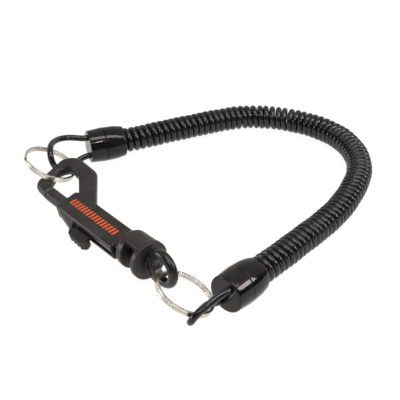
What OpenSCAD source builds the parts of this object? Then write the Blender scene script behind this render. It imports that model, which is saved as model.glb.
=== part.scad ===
// Coiled safety tether with a snap hook: a springy coil of plastic cord runs in an arch
// between two end caps, a cord loop leaves each cap and holds a split ring, and a plastic
// snap hook is clipped between the two loops. The object lies flat on its surface.
// Millimetres, +Z up, surface at z = 0.

/* [Cord and coil] */
// Diameter of the cord that the coil and the loops are made of
cord_d = 2.4; // [2.2:0.1:2.5]
// Outer diameter of the relaxed coil
coil_od = 9.8; // [9.4:0.1:9.8]

/* [End caps] */
// Length of a cap, from its loop face to its coil end
cap_len = 14.4; // [14:0.2:15.4]
// Diameter at the loop face
cap_face_d = 12.6; // [12.2:0.1:12.8]
// Largest diameter, at the joint between the two halves
cap_max_d = 13.5; // [13.2:0.1:13.5]
// Diameter at the coil end
cap_tail_d = 12.2; // [11.8:0.1:12.2]
// Distance of the joint between the halves from the loop face
cap_joint_x = 6.4; // [6:0.2:7]
// Distance between the two legs of a loop at the cap's face
leg_gap = 7; // [6.8:0.1:7]

/* [Split rings] */
// Diameter of a ring at the middle of its wire
ring_mean_d = 19.2; // [19:0.1:19.4]
// Thickness of the ring's wire, which is wound twice
ring_wire_d = 0.9; // [0.8:0.1:1]

/* [Snap hook] */
// Diameter of the sliding gate bolt
bolt_d = 5; // [4.7:0.1:5]
// Radial clearance of the bolt in its bore
bolt_play = 0.08; // [0.05:0.01:0.1]
// Travel of the gate bolt
gate_travel = 9.4; // [6:0.1:9.4]
// Diameter of the flange at the swivel
flange_d = 13.8; // [13.4:0.1:13.8]
// Outer diameter of the swivel eye
eye_od = 13.6; // [13.2:0.1:13.7]
// Thickness of the eye's rim
eye_rim_d = 3.4; // [3.2:0.1:3.4]

/* [Hidden] */
$fn = 48;

// Shift that puts the origin under the middle of the object
centre = [21.8, 16.7, 0];

// Cap places: centre of the loop face, and the heading of the coil end
cap_z = 6.8;
rear_cap_at = [-44, 28, cap_z];
rear_cap_turn = 20;
rear_leg_roll = -28;
front_cap_at = [7.8, -64.2, cap_z];
front_cap_turn = 47;
front_leg_roll = 30;
cap_wall = 1.1;
socket_depth = 2;
socket_play = 0.15;
leg_hole_play = 0.06;
sleeve_x = 3;
sleeve_len = 7;
sleeve_wall = 0.45;
leg_tip_x = 9.5;

// Hook places: a point on the axis of its body, its heading and its roll
hook_at = [-34.5, -25.4, 7];
hook_turn = -49.6;
hook_roll = 15.5;
gate_y = -2.4;
gate_x = -27.1;
bolt_end_x = 5.6;
bore_end_x = 16;
slot_z = -0.3;
slot_h = 1.6;
stem_h = 1.2;
stem_x = [-3.4, 3.2];
slot_x = [-4.6, stem_x[1] + gate_travel + 2.6];
spring_r = 1.15;
spring_wire_d = 0.45;
spring_turns = 9;
bolt_hollow_r = 1.6;
bolt_hollow_x = -9;
flange_x = [26.5, 28.6];
window_x = [20.9, 26.1];
window_y = -2.2;
head_r = 3.6;
shank_r = 2;
shank_play = 0.3;
swivel_tilt = 5;
eye_x = 35.1;

// Ring places: centre, heading of the slope, slope
rear_ring_at = [-55.95, 8.6, 10.34];
rear_ring_turn = [4, 25];
front_ring_at = [-4.6, -61.6, 5.2];
front_ring_turn = [6.4, 26.8];

// Centre line of the coil, from the rear cap to the front cap
coil_route = [
    [-32.2, 32.3, 6.8], [-29, 33.5, 6.8], [-24, 35.7, 6.7], [-14, 41.3, 6.3], [-4, 46.9, 5.7],
    [6.5, 52.4, 5.2], [17.5, 56.3, 5], [28.5, 56.2, 5], [39, 53, 5], [49, 47, 5], [57, 37.5, 5],
    [61, 25, 5], [60.5, 12, 5], [56, -1, 5], [49.5, -13.5, 5], [42, -24.2, 5.3],
    [34, -34.3, 6], [26.6, -43.6, 6.6], [21.8, -49.1, 6.8], [18.3, -52.9, 6.8],
    [16.4, -55, 6.8]];

// Centre lines of the loops outside their caps, from the upper leg to the lower leg
rear_loop_route = [
    [-48.8, 29.1, 10.2], [-52, 28.3, 10.7], [-55, 24.6, 12], [-56.6, 18.5, 13.3], [-56.4, 13.2, 13.1],
    [-55.8, 11, 10.6], [-54.8, 12.3, 6.8], [-53.5, 15.3, 3.8], [-50.9, 20.4, 2.2],
    [-47.8, 23.8, 2.9]];
front_loop_route = [
    [5.1, -68.6, 9.2], [2.4, -70.9, 8.2], [0.1, -72.2, 7], [-1.6, -73, 5.6], [-2.6, -73.1, 3.9],
    [-3, -71.6, 2.2], [-2, -68.8, 1.4], [0.2, -66, 2.1], [2.8, -64.6, 3.8]];

function unit(v) = v / norm(v);

// Point at share t of the smooth curve through p, between its points i and i + 1
function curve_point(p, i, t) =
    let (n = len(p) - 1, a = p[max(i - 1, 0)], b = p[i], c = p[i + 1], d = p[min(i + 2, n)])
    0.5 * (2 * b + (c - a) * t + (2 * a - 5 * b + 4 * c - d) * t * t
           + (3 * b - a - 3 * c + d) * t * t * t);

// The curve through p with a number of steps between each two of its points
function curve(p, steps) = concat(
    [for (i = [0 : len(p) - 2], k = [0 : steps - 1]) curve_point(p, i, k / steps)],
    [p[len(p) - 1]]);

function heading(p, i) = unit(p[min(i + 1, len(p) - 1)] - p[max(i - 1, 0)]);

// A closed round tube along path, whose rings are squared to the direction across
module tube(path, r, sides, across) {
    rings = len(path);
    points = [for (i = [0 : rings - 1])
        let (t = heading(path, i), u = unit(cross(across, t)), v = cross(t, u))
        for (k = [0 : sides - 1])
            path[i] + r * (cos(360 * k / sides) * u + sin(360 * k / sides) * v)];
    walls = [for (i = [0 : rings - 2], k = [0 : sides - 1])
        [(i + 1) * sides + k, (i + 1) * sides + (k + 1) % sides,
         i * sides + (k + 1) % sides, i * sides + k]];
    start = [for (k = [0 : sides - 1]) k];
    end = [for (k = [sides - 1 : -1 : 0]) (rings - 1) * sides + k];
    polyhedron(points, concat([start], walls, [end]));
}

// Something built along the X axis from a cap's loop face, put in its place
module at_cap(at, turn, roll) {
    translate(at) rotate([0, 0, turn]) rotate([roll, 0, 0]) children();
}

// Something built along the X axis of the hook, put in its place
module at_hook() {
    translate(hook_at) rotate([0, 0, hook_turn]) rotate([hook_roll, 0, 0]) children();
}

// The swivel hangs in its hole at a slight tilt
module at_swivel() {
    translate(hook_at) rotate([0, 0, hook_turn])
        translate([flange_x[0], 0, 0]) rotate([0, -swivel_tilt, 0])
            translate([-flange_x[0], 0, 0]) children();
}

// A solid turned around the X axis, from a half outline of [x, radius] points
module turned(outline) {
    rotate([0, 90, 0]) rotate([0, 0, 90])
        rotate_extrude() polygon([for (p = outline) [p[1], p[0]]]);
}

// A straight round bar along the X axis, from x1 to x2
module bar(x1, x2, r) {
    translate([x1, 0, 0]) rotate([0, 90, 0]) cylinder(h = x2 - x1, r = r);
}

// Coil: its outer shape
module coil_cord() {
    color("#1b1b1d") tube(curve(coil_route, 2), coil_od / 2, 12, [0, 0, 1]);
}

// Loop: out of the nose, round, and back into the nose
module loop_cord(at, turn, roll, route) {
    along = [cos(turn), sin(turn), 0];
    aside = [-sin(turn), cos(turn), 0];
    up = [0, 0, cos(roll)] - sin(roll) * aside;
    function leg(x, side) = at + x * along + side * leg_gap / 2 * up;
    path = concat([for (x = [leg_tip_x, 4, 0, -1.5]) leg(x, 1)],
                  curve(route, 2),
                  [for (x = [-1.5, 0, 4, leg_tip_x]) leg(x, -1)]);
    color("#161617") tube(path, cord_d / 2, 8, cross(along, up));
}

// Front half of a cap, with the two holes for the loop's legs
module cap_nose() {
    rim = 0.5;
    inner = cap_face_d / 2 - cap_wall;
    difference() {
        turned([[0, 0], [0, cap_face_d / 2 - rim], [rim, cap_face_d / 2],
                [cap_joint_x, cap_max_d / 2], [cap_joint_x, 0]]);
        bar(2, cap_joint_x + 1, inner);
        for (side = [-1, 1])
            translate([0, 0, side * leg_gap / 2])
                bar(-1, 3, cord_d / 2 + leg_hole_play);
    }
}

// Back half of a cap, with the socket that takes the end of the coil
module cap_tail() {
    inner = cap_face_d / 2 - cap_wall;
    shoulder = 1.6;
    difference() {
        turned([[cap_joint_x, 0], [cap_joint_x, cap_max_d / 2],
                [cap_len - 3.2, cap_tail_d / 2 + 0.35], [cap_len - shoulder, cap_tail_d / 2],
                [cap_len - shoulder / 4, cap_tail_d / 2 - 0.3],
                [cap_len, cap_tail_d / 2 - 0.6], [cap_len, 0]]);
        bar(cap_joint_x - 1, cap_len - socket_depth - 1.2, inner);
        bar(cap_len - socket_depth - 2, cap_len - socket_depth + 1, cord_d);
        bar(cap_len - socket_depth, cap_len + 1, coil_od / 2 + socket_play);
    }
}

// Metal sleeve inside a cap that is pressed onto both legs of the loop
module crimp_sleeve() {
    h = cord_d / 2 + sleeve_wall;
    difference() {
        union() {
            for (side = [-1, 1])
                translate([0, 0, side * leg_gap / 2]) bar(sleeve_x, sleeve_x + sleeve_len, h);
            translate([sleeve_x, -h, -leg_gap / 2]) cube([sleeve_len, 2 * h, leg_gap]);
        }
        for (side = [-1, 1])
            translate([0, 0, side * leg_gap / 2])
                bar(sleeve_x - 1, sleeve_x + sleeve_len + 1, cord_d / 2);
    }
}

// Split ring: two turns of wire that lie on each other
module split_ring(at, turn) {
    translate(at) rotate([0, 0, turn[0]]) rotate([0, turn[1], 0])
        rotate_extrude($fn = 72) translate([ring_mean_d / 2, 0]) {
            for (side = [-1, 1])
                translate([0, side * ring_wire_d / 2]) circle(d = ring_wire_d, $fn = 16);
            square(ring_wire_d, center = true);
        }
}

// Points on an arc around c, from angle a to angle b
function arc(c, r, a, b, n = 6) =
    [for (k = [0 : n]) c + r * [cos(a + (b - a) * k / n), sin(a + (b - a) * k / n)]];

// Outline of the bow with its nose and its spine, seen from above
module bow_outline() {
    polygon(concat(
        [[-6.5, 1], [-6.5, 3.6]],
        arc([-23.1, 10.9], 4.2, 47, 88),
        arc([-31.8, 8.8], 6.8, 90, 168),
        arc([-32.5, -0.3], 4, 175, 262, 5),
        [[gate_x, -4.9], [gate_x, 0.1]],
        arc([-28.6, 3.2], 3.2, -80, -150, 4),
        arc([-29.4, 5.6], 4, 185, 90),
        arc([-26.4, 6.1], 3.2, 85, 40, 4),
        [[-17, 3.3], [-17, -1], [-10, -1]]));
}

// The bow's bar, rounded by steps towards its top and its underside
module bow() {
    steps = [[-2.3, 1.5], [-2.1, 1.05], [-1.8, 0.65], [-1.4, 0.3], [-0.9, 0.08], [-0.5, 0],
             [0.6, 0.12], [1.1, 0.32], [1.5, 0.6], [1.8, 0.9], [2.02, 1.25], [2.2, 1.25]];
    for (k = [0 : len(steps) - 2])
        translate([0, 0, steps[k][0]]) linear_extrude(steps[k + 1][0] - steps[k][0])
            offset(delta = -steps[k][1]) bow_outline();
    // Full underside on the spine's side, where no ring passes below
    translate([0, 0, -2.75]) linear_extrude(2.4) intersection() {
        offset(delta = -0.45) bow_outline();
        polygon([[-30.4, 8.6], [-29.6, 12.1], [-22.3, 12.1], [-15.2, 4.2], [-18.1, 2.2], [-24, 4]]);
    }
}

// Barrel of the hook: flat printed top, chamfered sides and a round belly
module barrel_section() {
    polygon([[-5.6, 3], [-6.2, 2.3], [-6.2, 0.5], [-6.4, -1.1], [-6.4, -2], [-5.8, -3],
             [-4.4, -3.5], [1.8, -3.3], [3.3, -2.6], [4.1, -1.4], [4.1, 2.3], [3.5, 3]]);
}

module barrel(x1, x2) {
    translate([x1, 0, 0]) rotate([90, 0, 90]) linear_extrude(x2 - x1) barrel_section();
}

// Ramp that shields the front of the knob: its face slopes out from the barrel's top edge
module guard() {
    hull() {
        translate([0, 0, -2.6]) linear_extrude(2.1)
            polygon([[-15.8, -5.4], [-15.8, -6.3], [-9.5, -7.6], [-6.8, -8.1], [-6.4, -7.8],
                     [-6.4, -5.4]]);
        translate([-16.4, -6.1, 2]) cube([10, 0.6, 0.4]);
    }
}

// Flared end of the hook that holds the swivel
module swivel_housing() {
    r = flange_d / 2;
    turned([[13.4, 0], [13.4, 3.2], [15, 3.9], [17.2, 5.7], [18.6, r - 0.4], [flange_x[0], r - 0.2],
            [flange_x[0] + 0.2, r], [flange_x[1] - 0.2, r], [flange_x[1], r - 0.2],
            [flange_x[1], 0]]);
}

module hook_body() {
    color("#1d1d1f") at_hook() difference() {
        union() {
            bow();
            guard();
            difference() {
                barrel(-17.2, 15.5);
                translate([0, 0, -4]) linear_extrude(8)
                    polygon([[-18, 2.6], [-17.2, 2.6], [-13.6, 5], [-18, 5]]);
            }
            swivel_housing();
        }
        // Bore of the gate bolt
        translate([0, gate_y, 0]) bar(-18.2, bore_end_x, bolt_d / 2 + bolt_play);
        // Slot that the knob slides in
        translate([slot_x[0], -10, slot_z - slot_h / 2])
            cube([slot_x[1] - slot_x[0], 10 + gate_y, slot_h]);
        // Belly that rises towards the bow
        translate([-18, -8, -3.3]) rotate([0, 4, 0]) translate([0, 0, -3])
            cube([16, 14, 3.4]);
        // Window in the gate side of the housing, cavity of the swivel's head, hole for its shank
        translate([window_x[0], -10, -10])
            cube([window_x[1] - window_x[0], 10 + window_y, 20]);
        bar(window_x[0], window_x[1], head_r + 0.5);
        bar(window_x[0], flange_x[1] + 1, shank_r + shank_play);
    }
}

module gate_bolt() {
    r = bolt_d / 2;
    color("#232325") at_hook() translate([0, gate_y, 0]) difference() {
        turned([[gate_x + 0.1, 0], [gate_x + 0.1, r - 0.2], [gate_x + 0.3, r],
                [bolt_end_x, r], [bolt_end_x, 0]]);
        bar(bolt_hollow_x, bolt_end_x + 1, bolt_hollow_r);
        // Notch that the knob's stem is pressed into
        translate([stem_x[0], -r - 1, slot_z - stem_h / 2])
            cube([stem_x[1] - stem_x[0], 1.5, stem_h]);
    }
}

// Thumb knob with ribs across its outer face
module thumb_knob() {
    r = bolt_d / 2;
    inner_y = -7;
    outer_y = -9.7;
    base_z = -2.9;
    height = 3.8;
    ribs = 4;
    rib_step = 2.1;
    color("#28282a") at_hook() union() {
        translate([stem_x[0], inner_y - 0.5, slot_z - stem_h / 2])
            cube([stem_x[1] - stem_x[0], gate_y - r + 0.5 - inner_y + 0.5, stem_h]);
        translate([0, 0, base_z]) linear_extrude(height)
            polygon([[-4.6, inner_y], [-5.9, -8.3], [-5.8, -9.2], [-5, outer_y],
                     [2.9, outer_y - 0.4], [3.7, -9.8], [4.1, -9.1], [3.9, -8.3], [3.2, inner_y]]);
        for (k = [0 : ribs - 1])
            translate([-4.2 + rib_step * k, outer_y - 0.1 * k + 0.3, base_z])
                cylinder(h = height, r = 0.9, $fn = 24);
    }
}

// Return spring behind the bolt, one helix of wire
module gate_spring() {
    length = bore_end_x - bolt_hollow_x - spring_wire_d;
    steps = 10;
    path = [for (k = [0 : spring_turns * steps])
        [bolt_hollow_x + spring_wire_d / 2 + length * k / (spring_turns * steps),
         spring_r * cos(360 * k / steps), spring_r * sin(360 * k / steps)]];
    color("silver") at_hook() translate([0, gate_y, 0])
        tube(path, spring_wire_d / 2, 6, [1, 0, 0]);
}

// Swivel: head inside the housing, shank through the flange, collar and eye
module swivel_eye() {
    rim = eye_rim_d / 2;
    centre_r = eye_od / 2 - rim;
    hole_r = centre_r - rim + 0.05;
    head_x = window_x[0] + 0.8;
    collar_x = flange_x[1] + 0.5;
    collar_r = 3.4;
    color("#2b2b2d") at_swivel() union() {
        turned([[head_x, 0], [head_x, head_r - 0.5], [head_x + 0.5, head_r],
                [head_x + 2.9, head_r], [head_x + 3.4, shank_r],
                [collar_x, shank_r], [collar_x, collar_r], [collar_x + 1.2, collar_r],
                [collar_x + 1.2, 0]]);
        difference() {
            union() {
                translate([eye_x, 0, 0]) rotate([90, 0, 0])
                    rotate_extrude() translate([centre_r, 0]) circle(d = eye_rim_d, $fn = 24);
                translate([collar_x + 0.4, -1.5, 0]) rotate([-90, 0, 0]) linear_extrude(3)
                    polygon([[0, -4.7], [2.6, -5.4], [5, -centre_r], [5, centre_r + 0.8],
                             [2.6, 6.2], [0, 5.4]]);
            }
            translate([eye_x, 5, 0]) rotate([90, 0, 0]) cylinder(h = 10, r = hole_r);
            // Flat back of the eye, clear of the flange
            translate([collar_x - 4.6, -5, -9]) cube([5, 10, 18]);
        }
    }
}

// Places of what belongs to the rear and to the front cap
module at_rear_cap() { at_cap(rear_cap_at, rear_cap_turn, rear_leg_roll) children(); }
module at_front_cap() { at_cap(front_cap_at, front_cap_turn, front_leg_roll) children(); }

module rear_loop_cord() { loop_cord(rear_cap_at, rear_cap_turn, rear_leg_roll, rear_loop_route); }
module front_loop_cord() { loop_cord(front_cap_at, front_cap_turn, front_leg_roll, front_loop_route); }
module rear_cap_nose() { color("#202022") at_rear_cap() cap_nose(); }
module rear_cap_tail() { color("#202022") at_rear_cap() cap_tail(); }
module front_cap_nose() { color("#202022") at_front_cap() cap_nose(); }
module front_cap_tail() { color("#202022") at_front_cap() cap_tail(); }
module rear_crimp_sleeve() { color("silver") at_rear_cap() crimp_sleeve(); }
module front_crimp_sleeve() { color("silver") at_front_cap() crimp_sleeve(); }
module rear_split_ring() { color("silver") split_ring(rear_ring_at, rear_ring_turn); }
module front_split_ring() { color("silver") split_ring(front_ring_at, front_ring_turn); }

translate(centre) {
    coil_cord();
    rear_loop_cord();
    front_loop_cord();
    rear_cap_nose();
    rear_cap_tail();
    front_cap_nose();
    front_cap_tail();
    rear_crimp_sleeve();
    front_crimp_sleeve();
    rear_split_ring();
    front_split_ring();
    hook_body();
    gate_bolt();
    thumb_knob();
    gate_spring();
    swivel_eye();
}
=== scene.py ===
"""Coiled safety tether with a snap hook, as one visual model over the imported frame."""

import math

import bmesh
import bpy
import numpy as np
from mathutils import Matrix, Vector


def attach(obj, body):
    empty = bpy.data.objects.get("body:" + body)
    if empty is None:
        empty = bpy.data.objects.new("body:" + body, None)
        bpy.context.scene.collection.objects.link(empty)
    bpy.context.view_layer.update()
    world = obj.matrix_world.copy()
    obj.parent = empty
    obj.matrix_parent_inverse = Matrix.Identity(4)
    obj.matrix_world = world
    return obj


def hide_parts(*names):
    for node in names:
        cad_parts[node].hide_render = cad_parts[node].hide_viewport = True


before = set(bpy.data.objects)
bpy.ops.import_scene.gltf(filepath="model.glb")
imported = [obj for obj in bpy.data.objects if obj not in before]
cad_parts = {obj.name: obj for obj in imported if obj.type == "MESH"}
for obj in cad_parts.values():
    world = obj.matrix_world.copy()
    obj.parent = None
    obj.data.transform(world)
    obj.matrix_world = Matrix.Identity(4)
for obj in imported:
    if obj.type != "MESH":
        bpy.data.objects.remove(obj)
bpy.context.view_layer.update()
scene = bpy.context.scene
MM = 0.001
# Places and routes below are laid out in millimetres, and this moves them into the frame
CENTRE = np.array([21.8, 16.7, 0])

# ------------------------------------------------------------------ camera
CAMERA_AT = (0.0218, -0.2639, 0.1822)
CAMERA_TILT = 57  # degrees from straight down
LENS, SENSOR = 81, 36

cam_data = bpy.data.cameras.new("camera")
cam_data.lens = LENS
cam_data.sensor_width = SENSOR
cam_data.clip_start, cam_data.clip_end = 0.02, 20
camera = bpy.data.objects.new("camera", cam_data)
camera.location = CAMERA_AT
camera.rotation_euler = (math.radians(CAMERA_TILT), 0, 0)
scene.collection.objects.link(camera)
scene.camera = camera


# ------------------------------------------------------------------ materials
def material(name, base, rough, metallic=0.0, spec=0.5, tint=(1, 1, 1)):
    """A Principled material with its uniform values on the shader's own sockets."""
    m = bpy.data.materials.new(name)
    m.use_nodes = True
    b = m.node_tree.nodes["Principled BSDF"]
    b.inputs["Base Color"].default_value = (*base, 1)
    b.inputs["Roughness"].default_value = rough
    b.inputs["Metallic"].default_value = metallic
    b.inputs["Specular IOR Level"].default_value = spec
    b.inputs["Specular Tint"].default_value = (*tint, 1)
    return m


class Nodes:
    """Short calls for building a node tree over a Principled shader."""

    def __init__(self, m):
        self.tree = m.node_tree
        self.shader = m.node_tree.nodes["Principled BSDF"]

    def new(self, kind, **settings):
        n = self.tree.nodes.new(kind)
        for k, v in settings.items():
            setattr(n, k, v)
        return n

    def link(self, a, b):
        self.tree.links.new(a, b)

    def scaled(self, vector, scale):
        m = self.new("ShaderNodeMapping")
        m.inputs["Scale"].default_value = scale
        self.link(vector, m.inputs["Vector"])
        return m.outputs["Vector"]

    def place(self, scale=(1, 1, 1)):
        """Object coordinates."""
        return self.scaled(self.new("ShaderNodeTexCoord").outputs["Object"], scale)

    def run(self, scale):
        """Metres along a swept piece and turns round it, which sweep() leaves on its points."""
        return self.scaled(self.new("ShaderNodeAttribute", attribute_name="run").outputs["Vector"],
                           scale)

    def noise(self, vector, scale, detail=4, rough=0.55, distort=0.0):
        n = self.new("ShaderNodeTexNoise")
        n.inputs["Scale"].default_value = scale
        n.inputs["Detail"].default_value = detail
        n.inputs["Roughness"].default_value = rough
        n.inputs["Distortion"].default_value = distort
        self.link(vector, n.inputs["Vector"])
        return n.outputs["Fac"]

    def ramp(self, value, low, high, out_low=0.0, out_high=1.0):
        n = self.new("ShaderNodeMapRange")
        for i, v in zip(range(1, 5), (low, high, out_low, out_high)):
            n.inputs[i].default_value = v
        self.link(value, n.inputs[0])
        return n.outputs[0]

    def math(self, op, a, b):
        n = self.new("ShaderNodeMath", operation=op)
        for socket, v in zip(n.inputs, (a, b)):
            if isinstance(v, (int, float)):
                socket.default_value = v
            else:
                self.link(v, socket)
        return n.outputs[0]

    def mix(self, fac, a, b):
        n = self.new("ShaderNodeMix", data_type="RGBA")
        self.link(fac, n.inputs[0])
        for i, v in ((6, a), (7, b)):
            if isinstance(v, tuple):
                n.inputs[i].default_value = (*v, 1)
            else:
                self.link(v, n.inputs[i])
        return n.outputs[2]

    def bump(self, height, strength, distance, below=None):
        n = self.new("ShaderNodeBump")
        n.inputs["Strength"].default_value = strength
        n.inputs["Distance"].default_value = distance
        self.link(height, n.inputs["Height"])
        if below is not None:
            self.link(below, n.inputs["Normal"])
        return n.outputs["Normal"]

    def edges(self, low, high):
        g = self.new("ShaderNodeNewGeometry")
        return self.ramp(g.outputs["Pointiness"], low, high)

    def to(self, value, socket):
        self.link(value, self.shader.inputs[socket])


def moulded(name, base, worn, rough, grain, scuff, spec):
    """Injection moulded plastic: fine grain, rubbed patches, short scratches, paler edges."""
    m = material(name, base, rough, spec=spec, tint=(1, 0.92, 0.89))
    t = Nodes(m)
    p = t.place()
    patches = t.ramp(t.noise(p, 90, 3), 0.42, 0.68)
    fine = t.noise(p, 5200, 2, 0.6)
    lines = t.noise(t.place((420, 2600, 900)), 1.0, 5, 0.7, 0.3)
    scratch = t.ramp(lines, 0.64, 0.7)
    lines_b = t.noise(t.place((2400, 300, 1500)), 1.0, 4, 0.7, 0.2)
    scratch = t.math("MAXIMUM", scratch, t.ramp(lines_b, 0.66, 0.72))
    edge = t.edges(0.53, 0.62)
    wear = t.math("MULTIPLY", edge, t.ramp(t.noise(p, 600, 4), 0.35, 0.6))
    mark = t.math("MAXIMUM", wear, t.math("MULTIPLY", scratch, 0.35 * scuff))
    tint = t.mix(patches, base, tuple(0.6 * v + 0.4 * w for v, w in zip(base, worn)))
    t.to(t.mix(mark, tint, worn), "Base Color")
    r = t.math("ADD", t.ramp(patches, 0, 1, rough - 0.05, rough + 0.06),
               t.math("MULTIPLY", mark, 0.16))
    t.to(t.math("ADD", r, t.ramp(fine, 0.3, 0.7, -0.03, 0.03)), "Roughness")
    n = t.bump(fine, grain, 0.00003)
    n = t.bump(t.noise(p, 420, 2), 0.12, 0.00012, n)
    t.to(t.bump(t.math("MULTIPLY", scratch, -1), 0.12 * scuff, 0.00003, n), "Normal")
    return m


def cord_plastic(name):
    """Glossy extruded cord: draw lines along it, faint bloom and fingerprints."""
    m = material(name, (0.010, 0.010, 0.011), 0.2, spec=0.44)
    t = Nodes(m)
    draw = t.noise(t.run((60, 9, 1)), 1.0, 3, 0.5)
    p = t.place()
    bloom = t.ramp(t.noise(p, 70, 4, 0.6), 0.45, 0.7)
    dust = t.ramp(t.noise(p, 2600, 3, 0.7), 0.62, 0.72)
    t.to(t.mix(t.math("MULTIPLY", bloom, 0.6), (0.009, 0.009, 0.010), (0.022, 0.021, 0.021)),
         "Base Color")
    r = t.math("ADD", t.ramp(bloom, 0, 1, 0.15, 0.27), t.math("MULTIPLY", dust, 0.1))
    t.to(t.math("ADD", r, t.ramp(draw, 0.3, 0.7, -0.02, 0.03)), "Roughness")
    n = t.bump(draw, 0.12, 0.00006)
    t.to(t.bump(t.noise(p, 1500, 3), 0.05, 0.00005, n), "Normal")
    return m


def steel(name, base, rough, draw=0.5):
    """Plated wire: fine draw lines, small pits and slightly duller patches."""
    m = material(name, base, rough, metallic=1.0)
    t = Nodes(m)
    lines = t.noise(t.run((70, 5, 1)), 1.0, 4, 0.6)
    p = t.place()
    dull = t.ramp(t.noise(p, 240, 4, 0.6), 0.4, 0.72)
    pits = t.ramp(t.noise(p, 3600, 2, 0.5), 0.66, 0.74)
    t.to(t.mix(t.math("MULTIPLY", dull, 0.7), base, tuple(v * 0.72 for v in base)), "Base Color")
    r = t.math("ADD", t.ramp(dull, 0, 1, rough, rough + 0.1), t.math("MULTIPLY", pits, 0.08))
    t.to(r, "Roughness")
    n = t.bump(lines, 0.18 * draw, 0.00004)
    t.to(t.bump(t.math("MULTIPLY", pits, -1), 0.2 * draw, 0.00003, n), "Normal")
    return m


def ink(name):
    """Screen print, a little thin and uneven."""
    m = material(name, (0.72, 0.10, 0.022), 0.42, spec=0.3)
    t = Nodes(m)
    p = t.place()
    thin = t.ramp(t.noise(p, 1700, 4, 0.65), 0.5, 0.72)
    t.to(t.mix(t.math("MULTIPLY", thin, 0.7), (0.74, 0.105, 0.022), (0.38, 0.06, 0.024)),
         "Base Color")
    t.to(t.ramp(thin, 0, 1, 0.38, 0.55), "Roughness")
    t.to(t.bump(t.noise(p, 5200, 2), 0.2, 0.00002), "Normal")
    return m


CORD = cord_plastic("cord_polyurethane")
CAP = moulded("cap_gloss", (0.005, 0.0045, 0.005), (0.022, 0.02, 0.02),
              rough=0.11, grain=0.02, scuff=0.3, spec=0.32)
HOOK = moulded("hook_satin", (0.0125, 0.0112, 0.0102), (0.045, 0.042, 0.04),
               rough=0.4, grain=0.22, scuff=0.8, spec=0.42)
GATE = moulded("gate_satin", (0.009, 0.0082, 0.008), (0.04, 0.037, 0.036),
               rough=0.38, grain=0.16, scuff=0.8, spec=0.34)
SWIVEL = moulded("swivel_smooth", (0.0075, 0.0068, 0.0068), (0.03, 0.028, 0.028),
                 rough=0.24, grain=0.06, scuff=0.5, spec=0.4)
RING = steel("ring_plated", (0.70, 0.64, 0.56), 0.22, 0.15)
WIRE = steel("spring_wire", (0.62, 0.61, 0.60), 0.24)
CRIMP = steel("crimp_metal", (0.66, 0.66, 0.67), 0.34)
INK = ink("print_orange")


# ------------------------------------------------------------------ mesh helpers
def unit(v):
    v = np.asarray(v, float)
    return v / np.linalg.norm(v, axis=-1, keepdims=True)


def link_mesh(name, verts, faces, mat, body, smooth=True, run=None):
    """A new piece from points in metres, which rides on a body."""
    mesh = bpy.data.meshes.new(name)
    mesh.from_pydata([tuple(v) for v in verts], [], [tuple(f) for f in faces])
    if run is not None:
        layer = mesh.attributes.new("run", "FLOAT_VECTOR", "POINT")
        layer.data.foreach_set("vector", np.asarray(run, np.float32).ravel())
    mesh.validate()
    mesh.update()
    mesh.polygons.foreach_set("use_smooth", [smooth] * len(mesh.polygons))
    mesh.materials.append(mat)
    ob = bpy.data.objects.new(name, mesh)
    scene.collection.objects.link(ob)
    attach(ob, body)
    return ob


def tidy(ob, angle=None):
    """Outward normals, and sharp edges over an angle."""
    bm = bmesh.new()
    bm.from_mesh(ob.data)
    bmesh.ops.remove_doubles(bm, verts=bm.verts, dist=1e-7)
    bmesh.ops.recalc_face_normals(bm, faces=bm.faces)
    if angle is not None:
        for e in bm.edges:
            if len(e.link_faces) == 2 and e.calc_face_angle(0) > math.radians(angle):
                e.smooth = False
    bm.to_mesh(ob.data)
    bm.free()
    return ob


def apply_modifiers(ob):
    deps = bpy.context.evaluated_depsgraph_get()
    mesh = bpy.data.meshes.new_from_object(ob.evaluated_get(deps))
    old = ob.data
    ob.modifiers.clear()
    ob.data = mesh
    bpy.data.meshes.remove(old)


def smooth_route(points, steps):
    """The curve through the points, as the frame's cords follow it."""
    p = np.asarray(points, float)
    n = len(p) - 1
    out = []
    for i in range(n):
        a, b, c, d = p[max(i - 1, 0)], p[i], p[i + 1], p[min(i + 2, n)]
        for k in range(steps):
            t = k / steps
            out.append(0.5 * (2 * b + (c - a) * t + (2 * a - 5 * b + 4 * c - d) * t * t
                              + (3 * b - a - 3 * c + d) * t ** 3))
    out.append(p[n])
    return np.array(out)


def resample(path, count):
    path = np.asarray(path, float)
    d = np.r_[0, np.cumsum(np.linalg.norm(np.diff(path, axis=0), axis=1))]
    s = np.linspace(0, d[-1], count)
    return np.column_stack([np.interp(s, d, path[:, k]) for k in range(3)]), s


def carried_frames(path):
    """Tangents, and two directions across the path that turn as little as they can."""
    t = unit(np.gradient(path, axis=0))
    u = np.zeros_like(t)
    start = np.array([0, 0, 1.0]) if abs(t[0][2]) < 0.8 else np.array([1.0, 0, 0])
    u[0] = unit(start - t[0] * (start @ t[0]))
    for i in range(1, len(t)):
        v = u[i - 1] - t[i] * (u[i - 1] @ t[i])
        u[i] = unit(v)
    return t, u, np.cross(t, u)


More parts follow.
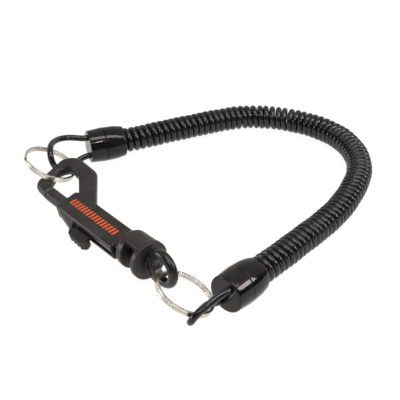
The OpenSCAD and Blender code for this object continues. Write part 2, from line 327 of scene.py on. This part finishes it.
def sweep(name, path, profile, mat, body, frames=None):
    """A closed tube: profile is [[across, up], ...] round the path, all in millimetres."""
    path = np.asarray(path, float)
    t, u, v = frames if frames is not None else carried_frames(path)
    prof = np.asarray(profile, float)
    m = len(prof)
    pts = (path[:, None, :] + u[:, None, :] * prof[None, :, 0, None]
           + v[:, None, :] * prof[None, :, 1, None])
    d = np.r_[0, np.cumsum(np.linalg.norm(np.diff(path, axis=0), axis=1))]
    ang = np.arange(m) / m
    run = np.stack([np.broadcast_to(d[:, None] * MM, (len(path), m)),
                    np.broadcast_to(ang[None, :], (len(path), m)),
                    np.zeros((len(path), m))], axis=2)
    verts = pts.reshape(-1, 3) * MM
    faces = []
    for i in range(len(path) - 1):
        for k in range(m):
            k2 = (k + 1) % m
            faces.append((i * m + k, i * m + k2, (i + 1) * m + k2, (i + 1) * m + k))
    faces.append(tuple(range(m - 1, -1, -1)))
    faces.append(tuple(range((len(path) - 1) * m, len(path) * m)))
    ob = link_mesh(name, verts, faces, mat, body, run=run.reshape(-1, 3))
    return tidy(ob, 60)


def round_profile(r, sides):
    a = np.arange(sides) * 2 * math.pi / sides
    return np.column_stack([np.cos(a), np.sin(a)]) * r


def turned(name, outline, mat, body, place):
    """A solid turned round the X axis of place, from [x, radius] points in millimetres."""
    segments = 96
    a = np.arange(segments) * 2 * math.pi / segments
    verts, rows = [], []
    for x, r in outline:
        if r < 1e-6:
            rows.append([len(verts)] * segments)
            verts.append(place @ Vector((x, 0, 0)))
        else:
            rows.append(list(range(len(verts), len(verts) + segments)))
            verts += [place @ Vector((x, r * math.cos(k), r * math.sin(k))) for k in a]
    faces = []
    for p, q in zip(rows, rows[1:]):
        for k in range(segments):
            k2 = (k + 1) % segments
            f = list(dict.fromkeys([p[k], p[k2], q[k2], q[k]]))
            if len(f) > 2:
                faces.append(f)
    ob = link_mesh(name, [v * MM for v in verts], faces, mat, body)
    return tidy(ob, 40)


def rounded(outline, radius, steps):
    """An outline of [x, r] points with every corner between its two ends rounded off."""
    p = [np.array(q, float) for q in outline]
    out = [p[0]]
    for a, b, c in zip(p, p[1:], p[2:]):
        la, lc = np.linalg.norm(a - b), np.linalg.norm(c - b)
        r = min(radius, 0.45 * la, 0.45 * lc)
        if r < 0.01:
            out.append(b)
            continue
        s, e = b + (a - b) / la * r, b + (c - b) / lc * r
        for k in range(steps + 1):
            t = k / steps
            out.append((1 - t) ** 2 * s + 2 * t * (1 - t) * b + t * t * e)
    out.append(p[-1])
    return out


def placed(at, turn, roll):
    """Where a piece's own X axis lies: turned in the plane, then rolled about itself."""
    return (Matrix.Translation(Vector(tuple(np.array(at) + CENTRE)))
            @ Matrix.Rotation(math.radians(turn), 4, "Z")
            @ Matrix.Rotation(math.radians(roll), 4, "X"))


def cut(ob, tool):
    """Takes a tool mesh out of a piece, and removes the tool."""
    mod = ob.modifiers.new("cut", "BOOLEAN")
    mod.operation, mod.object, mod.solver = "DIFFERENCE", tool, "EXACT"
    apply_modifiers(ob)
    bpy.data.objects.remove(tool)


def loose_bar(place, x1, x2, r, z):
    """A plain bar along X that is only a tool for cut()."""
    bm = bmesh.new()
    bmesh.ops.create_cone(bm, cap_ends=True, segments=48, radius1=r, radius2=r, depth=x2 - x1)
    bm.transform(Matrix.Scale(MM, 4) @ place @ Matrix.Translation(((x1 + x2) / 2, 0, z))
                 @ Matrix.Rotation(math.pi / 2, 4, "Y"))
    mesh = bpy.data.meshes.new("tool")
    bm.to_mesh(mesh)
    bm.free()
    ob = bpy.data.objects.new("tool", mesh)
    scene.collection.objects.link(ob)
    return ob


# ------------------------------------------------------------------ cords
CORD_R = 1.2
COIL_TURNS = 80
COIL_R = 3.7  # from the coil's centre line to the middle of the cord
CAP_Z = 6.8  # height of the middle of both caps
LEG_GAP = 7  # between the two legs of a loop, where they enter a cap
REAR = dict(at=(-44, 28, CAP_Z), turn=20, roll=-28)
FRONT = dict(at=(7.8, -64.2, CAP_Z), turn=47, roll=30)

COIL_ROUTE = [
    (-32.2, 32.3, 6.8), (-29, 33.5, 6.8), (-24, 35.7, 6.7), (-14, 41.3, 6.3), (-4, 46.9, 5.7),
    (6.5, 52.4, 5.2), (17.5, 56.3, 5), (28.5, 56.2, 5), (39, 53, 5), (49, 47, 5), (57, 37.5, 5),
    (61, 25, 5), (60.5, 12, 5), (56, -1, 5), (49.5, -13.5, 5), (42, -24.2, 5.3),
    (34, -34.3, 6), (26.6, -43.6, 6.6), (21.8, -49.1, 6.8), (18.3, -52.9, 6.8),
    (16.4, -55, 6.8)]
REAR_LOOP = [
    (-48.8, 29.1, 10.2), (-52, 28.3, 10.7), (-55, 24.6, 12), (-56.6, 18.5, 13.3),
    (-56.4, 13.2, 13.1), (-55.8, 11, 10.6), (-54.8, 12.3, 6.8), (-53.5, 15.3, 3.8),
    (-50.9, 20.4, 2.2), (-47.8, 23.8, 2.9)]
FRONT_LOOP = [
    (5.1, -68.6, 9.2), (2.4, -70.9, 8.2), (0.1, -72.2, 7), (-1.6, -73, 5.6), (-2.6, -73.1, 3.9),
    (-3, -71.6, 2.2), (-2, -68.8, 1.4), (0.2, -66, 2.1), (2.8, -64.6, 3.8)]


def laid_cord(name, path, sides, node):
    """A cord swept along its path in place of the frame's own, which it hides. Gives its length in
    metres.
    """
    ob = sweep(name, path, round_profile(CORD_R, sides), CORD, "tether")
    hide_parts(node)
    total = np.linalg.norm(np.diff(path, axis=0), axis=1).sum() * MM
    return total


def coil_cord():
    """The coil: a cord wound round its centre line, its turns side by side."""
    points_a_turn = 22
    line, s = resample(smooth_route(COIL_ROUTE, 24), COIL_TURNS * points_a_turn + 1)
    line = line + CENTRE
    t = unit(np.gradient(line, axis=0))
    u = unit(np.cross([0, 0, 1.0], t))
    v = np.cross(t, u)
    f = s / s[-1]
    # The turns lean and open a little, as a cord that has been stretched often
    lean = 0.16 * np.sin(2 * math.pi * 5.3 * f + 1) + 0.1 * np.sin(2 * math.pi * 13.7 * f)
    hold = np.clip(np.minimum(f, 1 - f) * 25, 0, 1)
    phase = 2 * math.pi * COIL_TURNS * f + 0.5
    wander = (0.10 * np.sin(0.37 * phase + 2) + 0.07 * np.sin(0.143 * phase)) * hold
    along = (lean * np.sin(phase + 0.6) + wander)[:, None] * t * hold[:, None]
    r = (COIL_R + 0.05 * np.sin(0.21 * phase) * hold)[:, None]
    path = line + r * (np.cos(phase)[:, None] * u + np.sin(phase)[:, None] * v) + along
    return laid_cord("coil", path, 14, "coil_cord")


def leg(cap, x, side):
    """A point on one leg of a loop, x along its cap from the cap's face."""
    turn, roll = math.radians(cap["turn"]), math.radians(cap["roll"])
    along = np.array([math.cos(turn), math.sin(turn), 0])
    aside = np.array([-math.sin(turn), math.cos(turn), 0])
    up = np.array([0, 0, math.cos(roll)]) - math.sin(roll) * aside
    return np.array(cap["at"]) + x * along + side * LEG_GAP / 2 * up


def loop_cord(name, cap, route, node):
    """A loop of cord that comes out of a cap, turns and goes back in."""
    depths = (9.5, 6, 2, -1.5)
    way_out = [leg(cap, x, 1) for x in depths]
    way_in = [leg(cap, x, -1) for x in reversed(depths)]
    path, _ = resample(smooth_route(way_out + [np.array(p) for p in route] + way_in, 8), 150)
    for _ in range(14):  # takes the last corners out of the bends
        path[1:-1] += 0.25 * (path[:-2] - 2 * path[1:-1] + path[2:])
    laid_cord(name, path + CENTRE, 20, node)


coil_length = coil_cord()
loop_cord("rear_loop", REAR, REAR_LOOP, "rear_loop_cord")
loop_cord("front_loop", FRONT, FRONT_LOOP, "front_loop_cord")


# ------------------------------------------------------------------ split rings
def split_ring(name, at, heading, slope, body, node, start):
    """Wire wound twice, with a jog where it steps up to the second turn."""
    r, half = 9.6, 0.45  # to the middle of the wire, and half the rise between the turns
    jog, gap = math.radians(22), math.radians(1.5)
    theta = np.linspace(jog / 2 + gap, 4 * math.pi - jog / 2 - gap, 360)
    step = np.clip((theta - (2 * math.pi - jog / 2)) / jog, 0, 1)
    z = half * (2 * (3 * step ** 2 - 2 * step ** 3) - 1)
    a = theta + math.radians(start)
    local = np.column_stack([r * np.cos(a), r * np.sin(a), z])
    m = (Matrix.Translation(Vector(tuple(np.array(at) + CENTRE)))
         @ Matrix.Rotation(math.radians(heading), 4, "Z")
         @ Matrix.Rotation(math.radians(slope), 4, "Y"))
    rot = np.array(m.to_3x3())
    path = local @ rot.T + np.array(m.translation)
    out = np.column_stack([np.cos(a), np.sin(a), np.zeros_like(a)]) @ rot.T
    t = unit(np.gradient(path, axis=0))
    v = unit(np.cross(t, out))
    u = np.cross(v, t)
    # A rolled wire: square with rounded corners, as half width, half height and corner radius
    w, h, c = 0.45, 0.445, 0.14
    prof = []
    for k, (sx, sy) in enumerate(((1, 1), (-1, 1), (-1, -1), (1, -1))):
        for q in range(5):
            b = math.pi / 2 * (k + q / 4)
            prof.append((sx * (w - c) + c * math.cos(b), sy * (h - c) + c * math.sin(b)))
    ob = sweep(name, path, prof, RING, body, frames=(t, u, v))
    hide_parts(node)


split_ring("rear_ring_wire", (-55.95, 8.6, 10.34), 4, 25, "rear_ring", "rear_split_ring", 205)
split_ring("front_ring_wire", (-4.6, -61.6, 5.2), 6.4, 26.8, "front_ring", "front_split_ring", 112)


# ------------------------------------------------------------------ end caps
def caps(label, cap):
    """The two halves of a cap, the nose with holes for the legs of its loop."""
    place = placed(cap["at"], cap["turn"], cap["roll"])
    face_r, max_r, tail_r, bore_r = 6.3, 6.75, 6.1, 5.2
    joint_x, end = 6.4, 14.4
    nose = turned(label + "_nose", rounded([
        (1.2, 0), (0.0, 0.0), (0.0, face_r), (joint_x - 0.12, max_r), (joint_x - 0.12, max_r - 0.5),
        (joint_x, max_r - 0.6), (joint_x, bore_r), (1.2, bore_r), (1.2, 0)], 0.55, 6),
        CAP, "tether", place)
    for side in (-1, 1):
        cut(nose, loose_bar(place, -1, 3, CORD_R + 0.06, z=side * LEG_GAP / 2))
    tidy(nose, 35)
    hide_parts(label + "_cap_nose")
    tail = turned(label + "_tail", rounded([
        (joint_x + 0.9, bore_r), (joint_x, bore_r), (joint_x, max_r - 0.55),
        (joint_x + 0.1, max_r - 0.1),
        (joint_x + 3, 6.6), (11.2, 6.48), (12.8, tail_r + 0.1), (end - 0.2, tail_r - 0.2),
        (end, tail_r - 0.5), (end, 5.05), (12.4, 5.05), (12.4, 2.4), (11.2, 2.4), (11.2, bore_r),
        (joint_x + 0.9, bore_r)], 0.5, 5),
        CAP, "tether", place)
    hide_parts(label + "_cap_tail")


caps("rear", REAR)
caps("front", FRONT)


# ------------------------------------------------------------------ hook
hook_place = placed((-34.5, -25.4, 7), -49.6, 15.5)


def softened(node, name, mat, body, voxel, passes):
    """A moulded piece from the frame's solid: remeshed at voxel mm, then its edges eased."""
    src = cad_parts[node]
    ob = bpy.data.objects.new(name, src.data.copy())
    scene.collection.objects.link(ob)
    ob.data.materials.clear()
    ob.data.materials.append(mat)
    mod = ob.modifiers.new("remesh", "REMESH")
    mod.mode, mod.voxel_size = "VOXEL", voxel * MM
    apply_modifiers(ob)
    mod = ob.modifiers.new("smooth", "SMOOTH")
    mod.factor, mod.iterations = 0.5, passes
    apply_modifiers(ob)
    ob.data.polygons.foreach_set("use_smooth", [True] * len(ob.data.polygons))
    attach(ob, body)
    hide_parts(node)


softened("hook_body", "hook_moulding", HOOK, "hook", 0.2, 4)
softened("thumb_knob", "knob_moulding", GATE, "gate", 0.13, 6)
softened("swivel_eye", "swivel_moulding", SWIVEL, "swivel", 0.15, 8)
for node, mat in (("gate_bolt", GATE), ("gate_spring", WIRE), ("rear_crimp_sleeve", CRIMP),
                  ("front_crimp_sleeve", CRIMP)):
    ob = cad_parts[node]
    ob.data.materials.clear()
    ob.data.materials.append(mat)


def print_marks():
    """Plain slanted dashes in place of a mark, printed on the hook's flat top."""
    x1, x2, low, high = -14.4, 12.2, -2.0, 0.7
    lean, corner, count = 0.6, 0.25, 16
    under, over = 2.97, 3.035  # just below and just above the flat top
    step = (x2 - x1) / count
    verts, faces = [], []
    for k in range(count):
        a, b = x1 + k * step, x1 + k * step + 0.5 * step
        ring = [(a, low), (b, low), (b + lean, high), (a + lean, high)]
        outline = []
        for i in range(4):
            p, q, r = (np.array(ring[(i + j) % 4]) for j in (-1, 0, 1))
            s, e = q + unit(p - q) * corner, q + unit(r - q) * corner
            outline += [(1 - t) ** 2 * s + 2 * t * (1 - t) * q + t * t * e
                        for t in (0, 0.33, 0.67, 1)]
        base = len(verts)
        for z in (under, over):
            verts += [hook_place @ Vector((p[0], p[1], z)) * MM for p in outline]
        m = len(outline)
        faces.append([base + m + i for i in range(m)])
        faces.append([base + i for i in range(m - 1, -1, -1)])
        faces += [[base + i, base + (i + 1) % m, base + m + (i + 1) % m, base + m + i]
                  for i in range(m)]
    tidy(link_mesh("print_dashes", verts, faces, INK, "hook", smooth=False), 30)


print_marks()

# ------------------------------------------------------------------ stage and light
def staged(name, bm, mat, glow, at):
    """A piece of the stage with a white glow of its own."""
    mesh = bpy.data.meshes.new(name)
    bm.to_mesh(mesh)
    bm.free()
    shader = mat.node_tree.nodes["Principled BSDF"]
    shader.inputs["Emission Color"].default_value = (1, 1, 1, 1)
    shader.inputs["Emission Strength"].default_value = glow
    mesh.materials.append(mat)
    ob = bpy.data.objects.new(name, mesh)
    ob.location = at
    scene.collection.objects.link(ob)
    return ob


def floor():
    """A pale floor that still takes a faint shadow."""
    bm = bmesh.new()
    bmesh.ops.create_grid(bm, x_segments=1, y_segments=1, size=3)
    mat = material("floor_white", (0.12, 0.12, 0.12), 0.85, spec=0.05)
    staged("floor", bm, mat, 0.94, (0, 0, -0.00001))


def backdrop():
    """A white wall round the floor, which only the camera sees."""
    bm = bmesh.new()
    bmesh.ops.create_cone(bm, cap_ends=False, segments=96, radius1=2.9, radius2=2.9, depth=4)
    mat = material("backdrop_white", (0, 0, 0), 1.0, spec=0.0)
    wall = staged("backdrop", bm, mat, 1.0, (0, 0, 1.99))
    wall.visible_diffuse = wall.visible_glossy = wall.visible_shadow = False
    wall.visible_transmission = False


def studio(dim, bright):
    """The room: a pale sweep behind and over the object, and a dim front."""
    world = bpy.data.worlds.new("world")
    scene.world = world
    world.use_nodes = True
    tree = world.node_tree
    place = tree.nodes.new("ShaderNodeTexCoord")
    dot = tree.nodes.new("ShaderNodeVectorMath")
    dot.operation = "DOT_PRODUCT"
    dot.inputs[1].default_value = (0, 0.75, 1)
    level = tree.nodes.new("ShaderNodeMapRange")
    level.interpolation_type = "SMOOTHSTEP"
    for i, v in zip(range(1, 5), (0.3, 0.75, dim, bright)):
        level.inputs[i].default_value = v
    back = tree.nodes["Background"]
    back.inputs["Color"].default_value = (1.0, 0.985, 0.96, 1)
    tree.links.new(place.outputs["Generated"], dot.inputs[0])
    tree.links.new(dot.outputs["Value"], level.inputs[0])
    tree.links.new(level.outputs[0], back.inputs["Strength"])


def softbox(name, at, aim, size, power, spin=0.0):
    """A rectangular light at a place in metres, aimed at a point, spun in its own plane."""
    light = bpy.data.lights.new(name, "AREA")
    light.shape, light.size, light.size_y = "RECTANGLE", size[0], size[1]
    light.energy = power
    ob = bpy.data.objects.new(name, light)
    ob.location = at
    turn = (Vector(aim) - Vector(at)).to_track_quat("-Z", "Y").to_matrix().to_4x4()
    ob.rotation_euler = (turn @ Matrix.Rotation(math.radians(spin), 4, "Z")).to_euler()
    scene.collection.objects.link(ob)


floor()
backdrop()
studio(dim=0.03, bright=0.6)
softbox("strip", (0.5, -0.2, 1.2), (0.5, -0.2, 0), (1.3, 0.32), 9, -6)
softbox("window", (1.72, -0.26, 1.0), (0, 0, 0), (0.5, 0.6), 14)
softbox("side", (-1.4, 0.05, 0.25), (0, 0, 0), (0.5, 0.3), 5)
softbox("glint", (0.385, -0.825, 1.16), (0, 0.04, 0), (0.16, 0.05), 1.6)
softbox("key", (-0.25, -1.05, 1.25), (0, 0, 0), (0.8, 0.2), 5)
scene.view_settings.view_transform = "Standard"
